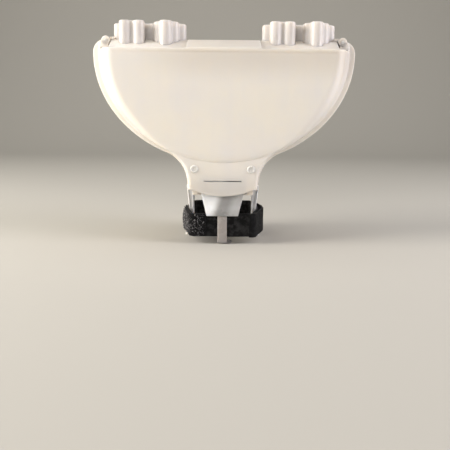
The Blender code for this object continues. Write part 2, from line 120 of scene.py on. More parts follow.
def add_lights():
    middle = (0.0, 0.0, 0.07)
    add_area_light("left_key", (-0.95, -0.25, 0.35), middle, (0.5, 0.8), 16.0, (1.0, 0.945, 0.88))
    add_area_light("right_key", (0.95, -0.28, 0.40), middle, (0.5, 0.8), 9.0, (0.98, 0.94, 1.0))
    add_area_light("front_fill", (-0.45, -1.30, 0.55), middle, (0.9, 0.7), 4.6, (1.0, 0.94, 0.89))
    add_area_light("top_soft", (0.0, 0.15, 1.10), middle, (0.9, 0.9), 3.4, (1.0, 0.98, 0.95))
    world = bpy.data.worlds.new("soft_studio")
    world.use_nodes = True
    background = world.node_tree.nodes["Background"]
    background.inputs["Color"].default_value = (0.80, 0.79, 0.76, 1.0)
    background.inputs["Strength"].default_value = 0.32
    bpy.context.scene.world = world


add_lights()
bpy.context.scene.view_settings.view_transform = "Standard"


# %% [markdown]
# ## Shader maths
# A node graph reads best as arithmetic. The class below wraps one socket, and an expression
# such as `0.3 + grain * 0.2` adds the Math nodes that it needs.

# %% A socket that can be added and multiplied
class Socket:
    """One output socket of a material's node tree."""

    def __init__(self, tree, socket):
        self.tree = tree
        self.socket = socket

    def node(self, kind, settings=None, **inputs):
        """Add a node: settings first, then the values or links of its inputs. Returns its first output."""
        new = self.tree.nodes.new(kind)
        for key, value in (settings or {}).items():
            setattr(new, key, value)
        for key, value in inputs.items():
            by_number = key[0] == "i" and key[1:].isdigit()
            socket = new.inputs[int(key[1:]) if by_number else key.replace("_", " ")]
            if isinstance(value, Socket):
                self.tree.links.new(value.socket, socket)
            else:
                socket.default_value = value
        visible = [output for output in new.outputs if output.enabled]
        return Socket(self.tree, visible[0])

    def math(self, operation, other=None):
        inputs = {"i0": self}
        if other is not None:
            inputs["i1"] = other
        return self.node("ShaderNodeMath", {"operation": operation}, **inputs)

    def __add__(self, other):
        return self.math("ADD", other)

    def __sub__(self, other):
        return self.math("SUBTRACT", other)

    def __mul__(self, other):
        return self.math("MULTIPLY", other)

    def __rsub__(self, other):
        return self.node("ShaderNodeMath", {"operation": "SUBTRACT"}, i0=other, i1=self)

    __radd__ = __add__
    __rmul__ = __mul__

    def clamp(self):
        return self.node("ShaderNodeClamp", None, Value=self)

    def part(self, axis):
        """One of the three numbers of a vector."""
        split = self.node("ShaderNodeSeparateXYZ", None, Vector=self)
        return Socket(self.tree, split.socket.node.outputs[axis])

    def ramp(self, low, high):
        """0 below low, 1 above high, and smooth between."""
        settings = {"interpolation_type": "SMOOTHSTEP"}
        return self.node("ShaderNodeMapRange", settings, Value=self, From_Min=low, From_Max=high)

    def mix(self, first, second):
        """A colour that goes from first to second as this value goes from 0 to 1."""
        new = self.tree.nodes.new("ShaderNodeMix")
        new.data_type = "RGBA"
        self.tree.links.new(self.socket, new.inputs["Factor"])
        for name, colour in (("A", first), ("B", second)):
            socket = [s for s in new.inputs if s.name == name and s.type == "RGBA"][0]
            if isinstance(colour, Socket):
                self.tree.links.new(colour.socket, socket)
            else:
                socket.default_value = (*colour, 1.0)
        output = [s for s in new.outputs if s.type == "RGBA"][0]
        return Socket(self.tree, output)


# %% A new material and its object coordinates
def start_material(name, colour, roughness, **constants):
    """A Principled material, its shader node and its object coordinates, in metres."""
    material = bpy.data.materials.new(name)
    material.use_nodes = True
    tree = material.node_tree
    shader = tree.nodes["Principled BSDF"]
    shader.inputs["Base Color"].default_value = (*colour, 1.0)
    shader.inputs["Roughness"].default_value = roughness
    for key, value in constants.items():
        shader.inputs[key.replace("_", " ")].default_value = value
    coordinates = tree.nodes.new("ShaderNodeTexCoord")
    return material, shader, Socket(tree, coordinates.outputs["Object"])


def feed(shader, name, value):
    value.tree.links.new(value.socket, shader.inputs[name])


def noise_of(place, scale, detail=2.0, roughness=0.5):
    return place.node("ShaderNodeTexNoise", None, Vector=place, Scale=scale, Detail=detail,
                      Roughness=roughness)


def bump_of(height, distance):
    return height.node("ShaderNodeBump", None, Height=height, Distance=distance, Strength=1.0)


# %% [markdown]
# ## Frosted plastic
# The bowl is moulded in milky polypropylene a little under two millimetres thick. Light
# enters it and spreads, so the shader gets subsurface scattering. The surface has a fine
# moulded grain, faint flow clouds, and slightly glossier patches where hands have rubbed it.

# %% Frosted plastic
def frosted_plastic(name, warm, cool, roughness, grain_depth, shade_of=None):
    """Milky plastic. shade_of(place, colour) may paint shade into its colour by place."""
    material, shader, place = start_material(
        name, warm, roughness, Subsurface_Weight=0.55, Subsurface_Scale=0.006, IOR=1.49,
        Subsurface_Radius=(1.0, 0.86, 0.70))
    clouds = noise_of(place, 22.0, 3.0)
    streaks = noise_of(place.node("ShaderNodeMapping", None, Vector=place, Scale=(90.0, 90.0, 9.0)), 1.0, 2.0)
    tint = (clouds * 0.7 + streaks * 0.3).ramp(0.30, 0.70)
    colour = tint.mix(warm, cool)
    if shade_of:
        colour = shade_of(place, colour)
    feed(shader, "Base Color", colour)
    rubbed = noise_of(place, 60.0, 4.0, 0.6).ramp(0.45, 0.62)
    feed(shader, "Roughness", roughness - 0.10 * rubbed + 0.05 * clouds)
    grain = noise_of(place, 2600.0, 2.0)
    feed(shader, "Normal", bump_of(grain + streaks * 0.8, grain_depth))
    return material


def shell_painted_shade(place, colour):
    """Painted shade: darker from 90 mm up towards the lip and crown, less so towards the left end, and round
    the neck's lower end.
    """
    height = place.part("Z")
    # Painted shade near the lip and crown, faded out at the left end where the left light falls.
    painted_lip_shade = height.ramp(0.090, 0.115) * place.part("X").ramp(-0.085, -0.020)
    painted_neck_shade = 1.0 - height.ramp(-0.002, 0.026)
    # The painted shade is a darker warm grey.
    return (painted_lip_shade * 0.55 + painted_neck_shade * 0.65).mix(colour, (0.60, 0.545, 0.485))


def tongue_painted_shade(place, colour):
    """Painted shade: grey to the right of a slanting line, for the black flash head seen through the tongue
    and for its side away from the left lights; the strip is painted darker and the hook foot near black.
    """
    height = place.part("Z")
    across = place.part("X")
    slant = across - height * 0.35
    # Painted shade: the grey mask, a little lighter again at the far right.
    painted_head_shade = slant.ramp(-0.0060, 0.0020) * (1.0 - 0.35 * slant.ramp(0.006, 0.014))
    strip = 1.0 - height.ramp(-0.0185, -0.0165)
    foot = across.ramp(0.0036, 0.0048) * (1.0 - height.ramp(-0.0380, -0.0360))
    colour = painted_head_shade.mix(colour, (0.26, 0.26, 0.255))
    colour = strip.mix(colour, (0.33, 0.305, 0.29))
    return foot.mix(colour, (0.09, 0.09, 0.09))


# The shell, bridge, lids and seat share this plastic with its painted shade.
SHELL_PLASTIC = frosted_plastic("frosted_shell", (0.865, 0.785, 0.675), (0.815, 0.755, 0.695), 0.42, 0.00006,
                                shell_painted_shade)
# Painted shade: the domes get a darker copy of the shell's plastic, to offset the key lights on the cups'
# sides.
DOME_PLASTIC = frosted_plastic("frosted_dome", (0.68, 0.63, 0.585), (0.65, 0.615, 0.59), 0.34, 0.00004)
# Painted light: the legs get a brighter copy of the shell's plastic, to offset the shade on their narrow
# faces.
LEG_PLASTIC = frosted_plastic("frosted_leg", (0.93, 0.90, 0.85), (0.91, 0.89, 0.86), 0.38, 0.00004)
FITTING_PLASTIC = frosted_plastic("frosted_fittings", (0.83, 0.78, 0.70), (0.80, 0.765, 0.71), 0.38, 0.00004)
# Painted shade: the tongue's plastic is greyer than the shell's, for the black flash head behind it.
TONGUE_PLASTIC = frosted_plastic("frosted_tongue", (0.76, 0.765, 0.765), (0.72, 0.73, 0.735), 0.30, 0.00003,
                                 tongue_painted_shade)
PLASTICS = (SHELL_PLASTIC, DOME_PLASTIC, LEG_PLASTIC, FITTING_PLASTIC, TONGUE_PLASTIC)
print("plastics:", [plastic.name for plastic in PLASTICS])


# %% [markdown]
# ## Helpers for modelling
# Each helper does one thing that a modeller does by hand: select nothing, add a primitive,
# extrude a ring of edges and put it in its place, apply a modifier, or finish a piece by
# turning it into metres and giving it its finish and its body.

# %% Selecting, applying and finishing
def only(piece):
    """Make this the one selected and active object."""
    bpy.ops.object.select_all(action="DESELECT")
    piece.select_set(True)
    bpy.context.view_layer.objects.active = piece


def apply_modifier(piece, kind, **settings):
    only(piece)
    modifier = piece.modifiers.new(kind.title(), kind)
    for key, value in settings.items():
        setattr(modifier, key, value)
    bpy.ops.object.modifier_apply(modifier=modifier.name)


def round_edges(piece, width, segments=3, sharper_than=50.0):
    """Bevel the edges that are sharper than an angle in degrees."""
    apply_modifier(piece, "BEVEL", width=width, segments=segments, limit_method="ANGLE",
                   angle_limit=math.radians(sharper_than))


def smooth(piece, angle=32.0):
    only(piece)
    bpy.ops.object.shade_smooth_by_angle(angle=math.radians(angle))


def finish_piece(piece, name, body, material, nodes=(), angle=32.0):
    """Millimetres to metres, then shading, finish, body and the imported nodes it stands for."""
    piece.name = name
    piece.data.name = name
    piece.data.transform(Matrix.Scale(MM, 4))
    piece.data.materials.clear()
    piece.data.materials.append(material)
    smooth(piece, angle)
    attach(piece, body)
    if nodes:
        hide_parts(*nodes)
    print(f"{name}: {len(piece.data.polygons)} faces")
    return piece


def place_points(piece, points):
    piece.data.vertices.foreach_set("co", np.asarray(points, dtype=float).ravel())
    piece.data.update()


def sheet_of(name, points):
    """A grid primitive laid over an array of points, rows by columns."""
    rows, columns = points.shape[:2]
    bpy.ops.object.select_all(action="DESELECT")
    bpy.ops.mesh.primitive_grid_add(x_subdivisions=columns - 1, y_subdivisions=rows - 1, size=1.0)
    piece = bpy.context.active_object
    piece.name = name
    place_points(piece, points)
    return piece


def loft(name, rings):
    """A ring of edges, extruded through a list of rings of points, and closed at its ends."""
    count = len(rings[0])
    bpy.ops.object.select_all(action="DESELECT")
    bpy.ops.mesh.primitive_circle_add(vertices=count, fill_type="NOTHING")
    piece = bpy.context.active_object
    piece.name = name
    place_points(piece, rings[0])
    bpy.ops.object.mode_set(mode="EDIT")
    bpy.ops.mesh.select_all(action="SELECT")
    bpy.ops.mesh.edge_face_add()
    body = bmesh.from_edit_mesh(piece.data)
    for face in body.faces:
        face.select = False
    for edge in body.edges:
        edge.select = True
    bmesh.update_edit_mesh(piece.data)
    for ring in rings[1:]:
        bpy.ops.mesh.extrude_edges_move()
        body = bmesh.from_edit_mesh(piece.data)
        body.verts.ensure_lookup_table()
        for vertex, point in zip(body.verts[-count:], ring):
            vertex.co = point
        bmesh.update_edit_mesh(piece.data)
    bpy.ops.mesh.edge_face_add()
    bpy.ops.mesh.select_all(action="SELECT")
    bpy.ops.mesh.normals_make_consistent(inside=False)
    bpy.ops.object.mode_set(mode="OBJECT")
    return piece


def box_piece(name, low, high, bevel=0.0, segments=3):
    """A cube at its size and place, with rounded edges."""
    low = np.array(low, float)
    high = np.array(high, float)
    bpy.ops.object.select_all(action="DESELECT")
    bpy.ops.mesh.primitive_cube_add(size=1.0)
    piece = bpy.context.active_object
    piece.name = name
    piece.data.transform(Matrix.Translation((low + high) / 2) @ Matrix.Diagonal((*(high - low), 1.0)))
    if bevel:
        bpy.ops.object.mode_set(mode="EDIT")
        bpy.ops.mesh.select_all(action="SELECT")
        bpy.ops.mesh.bevel(offset=bevel, segments=segments, affect="EDGES")
        bpy.ops.object.mode_set(mode="OBJECT")
    return piece


def bar_along_y(name, x, z, radius, y_low, y_high, bevel=0.3, sides=48):
    """A cylinder along Y with rounded ends."""
    bpy.ops.object.select_all(action="DESELECT")
    bpy.ops.mesh.primitive_cylinder_add(vertices=sides, radius=radius, depth=y_high - y_low)
    piece = bpy.context.active_object
    piece.name = name
    piece.data.transform(Matrix.Rotation(math.pi / 2, 4, "X"))
    piece.data.transform(Matrix.Translation((x, (y_low + y_high) / 2, z)))
    round_edges(piece, bevel, 3, 60.0)
    return piece


def join(name, pieces):
    """Several meshes as one object."""
    bpy.ops.object.select_all(action="DESELECT")
    for piece in pieces:
        piece.select_set(True)
    bpy.context.view_layer.objects.active = pieces[0]
    bpy.ops.object.join()
    pieces[0].name = name
    return pieces[0]


def boolean(piece, tool, operation="DIFFERENCE"):
    apply_modifier(piece, "BOOLEAN", operation=operation, solver="EXACT", object=tool)
    bpy.data.objects.remove(tool)
    return piece


def from_node(name, node, bevel):
    """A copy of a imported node, merged, with its flat faces made whole and its edges rounded."""
    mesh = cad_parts[node].data.copy()
    piece = bpy.data.objects.new(name, mesh)
    bpy.context.scene.collection.objects.link(piece)
    mesh.transform(Matrix.Scale(1 / MM, 4))
    only(piece)
    bpy.ops.object.mode_set(mode="EDIT")
    bpy.ops.mesh.select_all(action="SELECT")
    bpy.ops.mesh.remove_doubles(threshold=0.002)
    bpy.ops.mesh.dissolve_limited(angle_limit=math.radians(0.5))
    bpy.ops.object.mode_set(mode="OBJECT")
    round_edges(piece, bevel, 3, 38.0)
    return piece


def mirrored_copy(piece, name):
    """The same piece on the front side, with its faces turned outwards again."""
    mesh = piece.data.copy()
    copy = bpy.data.objects.new(name, mesh)
    bpy.context.scene.collection.objects.link(copy)
    mesh.transform(Matrix.Scale(-1.0, 4, (0, 1, 0)))
    mesh.flip_normals()
    return copy


def span(sign, near, far):
    """The low and the high end of a stretch on one side of the middle."""
    return sorted((sign * near, sign * far))


# %% [markdown]
# ## The two half shells
# Each half is one moulding: a flat D-shaped panel that stands a little proud of the neck,
# side walls that flare out to the parting rim, and a skirt that sags in the middle. A loft
# of outlines would pinch where bowl and neck meet. So the half is a sheet of level lines:
# a grid in which every row is one height, and every column runs from the lip to the skirt.
# Half-widths at a height come from three outlines, each a half ellipse that a concave arc
# joins to the straight neck. Solidify then gives the sheet its wall.

# %% Sizes of the bowl and neck
shell_low, shell_high = node_box("rear_shell")
RIM_HALF_WIDTH = shell_high[0]
PANEL_Y = -shell_low[1]
WALL = 1.7
BOWL_Z = 118.0
LIP_Z = 120.8
ARCH_RISE = 10.0
NECK_Y = PANEL_Y - 1.5
SIDE_HALF_WIDTH = 101.0
SIDE_ROUNDING = 10.0
NECK_ROUNDING = 3.0
CROWN_FOOT_Y = 14.0
CROWN_RADIUS = 11.0
LIP_BEAD = 0.4
PANEL_DROP = 90.0
PANEL_EDGE = 9.0
RIM_FACE_Y = 2.4
PARTING_GAP = 0.15
FLARE_RADIUS = 30.0
SKIRT_SIDE_Z = 5.0
SKIRT_SAG = 5.5
SKIRT_HALF_WIDTH = 26.0
SLOT_Z = 12.3
SLOT_HALF_WIDTH = 16.0
SLOT_HALF_HEIGHT = 0.5
HINGE_X = 101.5
HINGE_Z = 129.3
HINGE_RADIUS = 3.7
print("bowl half-width", round(RIM_HALF_WIDTH, 1), "panel at", round(PANEL_Y, 1))


# %% An outline: half-width of the bowl or neck at each height
class Outline:
    """A half ellipse joined to a straight neck by a concave arc of the flare's radius."""

    def __init__(self, half_width, depth, neck):
        self.half_width = half_width
        self.depth = depth
        self.neck = neck
        centre_x = neck + FLARE_RADIUS
        angles = np.linspace(0.0, math.pi / 2, 1441)
        xs = half_width * np.cos(angles)
        zs = BOWL_Z - depth * np.sin(angles)
        low = BOWL_Z - depth - 3 * FLARE_RADIUS
        high = BOWL_Z - 0.5 * depth
        for _ in range(40):
            middle = (low + high) / 2
            if np.hypot(xs - centre_x, zs - middle).min() > FLARE_RADIUS:
                low = middle
            else:
                high = middle
        self.arc_z = low
        self.touch_z = zs[np.hypot(xs - centre_x, zs - low).argmin()]

    def width(self, z):
        z = np.asarray(z, float)
        drop = np.clip((BOWL_Z - z) / self.depth, 0.0, 1.0)
        ellipse = self.half_width * np.sqrt(1.0 - drop ** 2)
        rise = np.clip(z - self.arc_z, 0.0, FLARE_RADIUS)
        arc = self.neck + FLARE_RADIUS - np.sqrt(FLARE_RADIUS ** 2 - rise ** 2)
        return np.where(z > self.touch_z, ellipse, arc)


CORNER_OUTLINE = Outline(SIDE_HALF_WIDTH, 90.8, 29.6)
ROOT_OUTLINE = Outline(RIM_HALF_WIDTH - 5.2, 92.2, 31.0)
RIM_OUTLINE = Outline(RIM_HALF_WIDTH, 94.7, 32.0)
print("flare arcs start at", [round(float(o.arc_z), 1) for o in (CORNER_OUTLINE, ROOT_OUTLINE, RIM_OUTLINE)])


# %% The sheet of one half
def arch_height(y):
    """The bridge's arch."""
    return LIP_Z + ARCH_RISE * np.cos(0.5 * np.pi * y / PANEL_Y)


def smoothstep(value, low, high):
    share = np.clip((value - low) / (high - low), 0.0, 1.0)
    return share * share * (3 - 2 * share)


def wall_height(y):
    """The shell's top edge: level round the panel, and up to the crown at the rim."""
    return LIP_Z + ARCH_RISE * smoothstep(CROWN_FOOT_Y - abs(y), 0.0, CROWN_FOOT_Y - RIM_FACE_Y)


def rim_width(z):
    """The rim's half-width, with its rounded upper corner."""
    rise = np.clip(z - (LIP_Z + ARCH_RISE - CROWN_RADIUS), 0.0, CROWN_RADIUS)
    return RIM_OUTLINE.width(z) - CROWN_RADIUS + np.sqrt(CROWN_RADIUS ** 2 - rise ** 2)


def root_width(z):
    """Half-width where the side wall meets the rim."""
    return np.minimum(ROOT_OUTLINE.width(z), rim_width(z) - 0.5)


def panel_relief(x, z):
    """How far the raised D-shaped panel stands out of the neck's plane."""
    across = x / SIDE_HALF_WIDTH
    down = np.clip(BOWL_Z - z, 0.0, None) / PANEL_DROP
    level = np.sqrt(across ** 2 + down ** 2) + 1e-6
    slope = np.sqrt((across / SIDE_HALF_WIDTH) ** 2 + (down / PANEL_DROP) ** 2) / level
    inside = np.clip((1.0 - level) / np.maximum(slope, 1e-9) / PANEL_EDGE, 0.0, 1.0)
    rounded = np.sqrt(1.0 - (1.0 - inside) ** 2)
    bead = LIP_BEAD * smoothstep(z, LIP_Z - 3.2, LIP_Z - 1.6)
    return (PANEL_Y - NECK_Y - LIP_BEAD + bead) * rounded


def corner_rounding(z):
    """Wide round corners at the bowl's sides, tight ones at the neck."""
    return NECK_ROUNDING + (SIDE_ROUNDING - NECK_ROUNDING) * smoothstep(z, 30.0, 62.0)


PANEL_COLUMNS = 46
CORNER_COLUMNS = 12
WALL_COLUMNS = 18
# The rim's section: how far out from wall to edge, and how far behind or past its face
RIM_SECTION = [(0.06, 0.30), (0.22, 0.03), (0.40, 0.0), (0.80, 0.0), (0.93, -0.15), (1.0, -0.55), (1.0, -1.3)]


def column_places(z, x_share):
    """X and Y of one column at the heights z; x_share runs over the columns from the panel outwards."""
    edge = CORNER_OUTLINE.width(z)
    rounding = corner_rounding(z)
    if x_share <= PANEL_COLUMNS:
        x = x_share / PANEL_COLUMNS * (edge - rounding)
        return x, -NECK_Y - panel_relief(x, z)
    step = x_share - PANEL_COLUMNS
    if step <= CORNER_COLUMNS:
        turn = 0.5 * math.pi * step / CORNER_COLUMNS
        x = edge - rounding * (1 - math.sin(turn))
        return x, -NECK_Y + rounding * (1 - math.cos(turn)) - panel_relief(x, z) * math.cos(turn)
    step -= CORNER_COLUMNS
    root = root_width(z)
    if step <= WALL_COLUMNS:
        share = step / WALL_COLUMNS
        start = NECK_Y - rounding
        return edge * (1 - share) + root * share, -start * (1 - share) - (RIM_FACE_Y + 0.9) * share
    step -= WALL_COLUMNS + 1
    rim = np.maximum(rim_width(z), root + 0.4)
    if step < len(RIM_SECTION):
        out, back = RIM_SECTION[step]
        return root + (rim - root) * out, np.full_like(z, -RIM_FACE_Y - back)
    return rim, np.full_like(z, -PARTING_GAP)


def height_shares(count=118):
    """Where the rows lie between skirt (0) and lip (1): closest where bowl and neck meet."""
    place = np.linspace(0.0, 1.0, 600)
    density = 1.0 + 2.6 * np.exp(-((place - 0.25) / 0.075) ** 2) + 1.2 * np.exp(-((place - 1.0) / 0.05) ** 2)
    total = np.concatenate([[0.0], np.cumsum(density[1:] + density[:-1])])
    return np.interp(np.linspace(0.0, total[-1], count), total, place)


def half_shell_points():
    """Rows by columns of points over the whole rear half."""
    shares = height_shares()
    last = PANEL_COLUMNS + CORNER_COLUMNS + WALL_COLUMNS + len(RIM_SECTION) + 1
    right = []
    for column in range(last + 1):
        x_low = column_places(np.array([SKIRT_SIDE_Z]), column)[0]
        y_high = column_places(np.array([LIP_Z]), column)[1]
        sag = np.clip(1.0 - (x_low[0] / SKIRT_HALF_WIDTH) ** 2, 0.0, 1.0)
        bottom = SKIRT_SIDE_Z - SKIRT_SAG * sag
        top = wall_height(y_high[0])
        z = bottom + (top - bottom) * shares
        x, y = column_places(z, column)
        right.append(np.stack([x, y, z], axis=1))
    left = [np.stack([-points[:, 0], points[:, 1], points[:, 2]], axis=1) for points in right[:0:-1]]
    return np.stack(left + right, axis=1)


def slot_cutter():
    """A slim slot with round ends, through the skirt."""
    low = (-SLOT_HALF_WIDTH, -NECK_Y - 4.0, SLOT_Z - SLOT_HALF_HEIGHT)
    high = (SLOT_HALF_WIDTH, -NECK_Y + 3.0, SLOT_Z + SLOT_HALF_HEIGHT)
    cutter = box_piece("slot", low, high)
    round_edges(cutter, 0.4, 3, 30.0)
    return cutter


def relief_cutter():
    """The thinned wall behind the tongue, which gives it room to swing."""
    low = (-SLOT_HALF_WIDTH - 4.0, -NECK_Y + 0.5 * WALL, -10.0)
    high = (SLOT_HALF_WIDTH + 4.0, -NECK_Y + 4.0, SLOT_Z + 4.0)
    return box_piece("relief", low, high, 0.4)


def make_half_shell():
    shell = sheet_of("half_shell", half_shell_points())
    only(shell)
    bpy.ops.object.mode_set(mode="EDIT")
    bpy.ops.mesh.select_all(action="SELECT")
    bpy.ops.mesh.normals_make_consistent(inside=False)
    bpy.ops.object.mode_set(mode="OBJECT")
    middle = shell.data.polygons[len(shell.data.polygons) // 2]
    if middle.normal.y > 0:
        shell.data.flip_normals()
    apply_modifier(shell, "SOLIDIFY", thickness=WALL, offset=-1.0, use_even_offset=False)
    round_edges(shell, 0.35, 2)
    return boolean(boolean(shell, slot_cutter()), relief_cutter())


def hinge_ears():
    """Two ears on the end walls, with round tops, that hold the lids' hinge pins."""
    ears = []
    for side in (-1, 1):
        low_x, high_x = span(side, HINGE_X - 2.3, HINGE_X + 5.0)
        ears.append(bar_along_y("ear", side * HINGE_X, HINGE_Z, HINGE_RADIUS, -10.3, -6.3, 0.5))
        ears.append(box_piece("leg", (low_x, -10.05, 114.0), (high_x, -6.55, HINGE_Z - 0.5), 0.5))
    return ears


rear = join("rear", [make_half_shell()] + hinge_ears())
front = mirrored_copy(rear, "front")
finish_piece(rear, "rear_half_shell", "bowl", SHELL_PLASTIC, ["rear_shell"])
finish_piece(front, "front_half_shell", "bowl", SHELL_PLASTIC, ["front_shell"])


# %% [markdown]
# ## The bridge, the seat and the hinge pins
# The bridge is a shallow arch with cheeks at its sides, and rests that the lids lie on. An
# arch is one outline pushed along its length, so it is lofted between its two end outlines
# and then bevelled. The lids' own arch is as high in the middle, but lower beside the domes.

# %% Bridge
BRIDGE_HALF_WIDTH = 30.6
BRIDGE_HALF_DEPTH = 41.2
BRIDGE_THICKNESS = 1.8
BRIDGE_FOOT_Z = 113.0
LID_THICKNESS = 1.9


def pushed_along_x(name, outline, x_low, x_high, bevel=0.4):
    """An outline in Y and Z, pushed out along X."""
    piece = loft(name, [[(x, y, z) for y, z in outline] for x in (x_low, x_high)])
    round_edges(piece, bevel)
    return piece


def lid_height(y):
    """A lid's top: as high as the bridge in the middle, and lower beside its dome."""
    return LIP_Z + ARCH_RISE * np.cos(0.5 * np.pi * y / PANEL_Y) ** 4


def lid_strip(low_y, high_y, drop, thickness, steps=30):
    """Outline in Y and Z of a strip that follows a lid, some way below its top."""
    top = [(y, lid_height(y) - drop) for y in np.linspace(low_y, high_y, steps + 1)]
    return top + [(y, z - thickness) for y, z in reversed(top)]


def make_bridge():
    ys = np.linspace(-BRIDGE_HALF_DEPTH, BRIDGE_HALF_DEPTH, 61)
    top = [(y, arch_height(y)) for y in ys]
    under = [(y, z - BRIDGE_THICKNESS) for y, z in reversed(top)]
    parts = [pushed_along_x("arch", top + under, -BRIDGE_HALF_WIDTH, BRIDGE_HALF_WIDTH)]
    cheek = [(y, z - 0.9) for y, z in top]
    cheek += [(BRIDGE_HALF_DEPTH, BRIDGE_FOOT_Z), (-BRIDGE_HALF_DEPTH, BRIDGE_FOOT_Z)]
    for side in (-1, 1):
        parts.append(pushed_along_x("cheek", cheek, *span(side, 28.2, 30.0)))
        for end in (-1, 1):
            rest = lid_strip(*span(end, 12.0, 36.0), LID_THICKNESS + 0.4, 1.8, 8)
            parts.append(pushed_along_x("rest", rest, *span(side, 29.5, 33.0)))
    for end in (-1, 1):
        low_y, high_y = span(end, 39.4, BRIDGE_HALF_DEPTH)
        parts.append(box_piece("foot", (-28.5, low_y, BRIDGE_FOOT_Z), (28.5, high_y, LIP_Z - 0.5), 0.4))
    return join("bridge", parts)


finish_piece(make_bridge(), "arched_bridge", "bowl", SHELL_PLASTIC, ["centre_bridge"])
finish_piece(from_node("seat", "flash_seat", 0.3), "seat_frame", "bowl", SHELL_PLASTIC,
             ["flash_seat"])
for side_name, side in (("left", -1), ("right", 1)):
    pin = bar_along_y("pin", side * HINGE_X, HINGE_Z, 1.5, -10.6, 10.6, 0.4, 32)
    finish_piece(pin, side_name + "_pin", "bowl", FITTING_PLASTIC, [side_name + "_hinge_pin"])


# %% [markdown]
# ## The fluted domes
# Each dome is a pair of fluted cups that share a middle lobe. Its plan is the outer line
# of a set of circles, softened so that the valleys are round, as a moulder needs them. The
# plan is lofted up the outside, over a rounded edge and into a shallow tray on top, and
# the side lobes are a little lower than the ones in front.

# %% Plan of a dome
CUP_PITCH = 14.5
DOME_X = 64.3
DOME_TOP_Z = cad_box[1][2] / MM
DOME_DIP = 2.2
FRONT_LOBES = [(6.0, -11.0, 5.1), (-6.0, -11.0, 5.1), (6.0, 11.0, 5.1), (-6.0, 11.0, 5.1), (0.0, -9.5, 4.0),
               (0.0, 9.5, 4.0), (-12.5, 0.0, 4.5), (CUP_PITCH, 0.0, 4.5)]
ROUND_LOBES = [(6.2, -6.5, 5.0), (-6.2, -6.5, 5.0), (6.2, 6.5, 5.0), (-6.2, 6.5, 5.0), (0.0, -12.5, 5.6),
               (0.0, 12.5, 5.6), (12.5, 0.0, 4.5), (-CUP_PITCH, 0.0, 4.5)]


def lobed_reach(angle, lobes, core=10.6):
    """Distance from a cup's centre to its fluted wall."""
    reach = core
    for x, y, radius in lobes:
        distance = math.hypot(x, y)
        turn = angle - math.atan2(y, x)
        across = distance * math.sin(turn)
        if math.cos(turn) > 0 and abs(across) < radius:
            reach = max(reach, distance * math.cos(turn) + math.sqrt(radius ** 2 - across ** 2))
    return reach


def dome_plan(steps=132):
    edge = math.atan2(4.5, CUP_PITCH)
    points = []
    for centre, lobes, start in ((-CUP_PITCH, FRONT_LOBES, 0.0), (CUP_PITCH, ROUND_LOBES, math.pi)):
        for i in range(steps):
            angle = start + edge + (2 * math.pi - 2 * edge) * i / steps
            reach = lobed_reach(angle, lobes)
            points.append((centre + reach * math.cos(angle), reach * math.sin(angle)))
    plan = np.array(points)
    for _ in range(3):
        plan = (np.roll(plan, 1, axis=0) + 2 * plan + np.roll(plan, -1, axis=0)) / 4
    return plan


def offset_plan(plan, inset):
    """The plan moved inwards, square to its own line, with the move smoothed."""
    along = np.roll(plan, -2, axis=0) - np.roll(plan, 2, axis=0)
    along /= np.linalg.norm(along, axis=1, keepdims=True)
    normal = np.stack([-along[:, 1], along[:, 0]], axis=1)
    for _ in range(6):
        normal = (np.roll(normal, 1, axis=0) + normal + np.roll(normal, -1, axis=0)) / 3
    return plan + inset * normal


PLAN = dome_plan()
print("dome plan", np.round(np.ptp(PLAN, axis=0), 1), "mm")


# %% Domes
def dome_ring(x, inset, z, dips=True):
    plan = offset_plan(PLAN, inset)
    dip = DOME_DIP * (1 - np.clip(abs(plan[:, 1]) / 14.0, 0.0, 1.0)) if dips else 0.0
    level = z - dip * smoothstep(z, 124.0, DOME_TOP_Z)
    return np.stack([x + plan[:, 0], plan[:, 1], np.full(len(plan), 1.0) * level], axis=1)


def make_dome(x):
    rings = [dome_ring(x, 1.5, DOME_TOP_Z - 6.0, False), dome_ring(x, 1.5, 116.3), dome_ring(x, 1.2, 116.0)]
    rings += [dome_ring(x, 0.3, 116.0), dome_ring(x, 0.0, 116.3)]
    rings += [dome_ring(x, 0.0, z) for z in np.linspace(118.0, DOME_TOP_Z - 1.6, 12)]
    for degrees in (22.5, 45.0, 67.5, 90.0):
        turn = math.radians(degrees)
        rings.append(dome_ring(x, 1.1 * (1 - math.cos(turn)), DOME_TOP_Z - 1.6 * (1 - math.sin(turn))))
    rings += [dome_ring(x, 1.5, DOME_TOP_Z - 0.1), dome_ring(x, 1.75, DOME_TOP_Z - 0.5)]
    rings += [dome_ring(x, 1.9, DOME_TOP_Z - 4.0, False), dome_ring(x, 2.3, DOME_TOP_Z - 4.4, False)]
    dome = loft("dome", rings)
    under_lid = lid_strip(-20.5, 20.5, LID_THICKNESS + 0.3, 1.4)
    flange = pushed_along_x("flange", under_lid, x - 26.0, x + 26.0, 0.3)
    inner = [dome_ring(x, 1.0, z) for z in (110.0, 135.0)]
    return join("dome", [dome, boolean(flange, loft("inner", inner))])


for side_name, side in (("left", -1), ("right", 1)):
    finish_piece(make_dome(side * DOME_X), side_name + "_fluted_dome", side_name + "_lid", DOME_PLASTIC,
                 [side_name + "_dome"])


# %% [markdown]
# ## The lids
# A lid is an arched plate that carries the bridge's arch on to the end wall. It has rounded
# corners, an opening for its dome, a skirt along each long side, an end wall, and a tab that
# holds the hinge knuckle. The plate is the arch's outline pushed along X, and a flat outline
# pushed up through it trims its corners.

# %% Lids
LID_INNER_X = 31.1
LID_OUTER_X = 97.0
LID_HALF_DEPTH = 39.9
LID_CORNER = [(90.8, LID_HALF_DEPTH), (94.8, 38.0), (96.5, 36.3), (LID_OUTER_X, 33.0)]
LID_END_Z = 119.9
KNUCKLE_HALF = 6.0


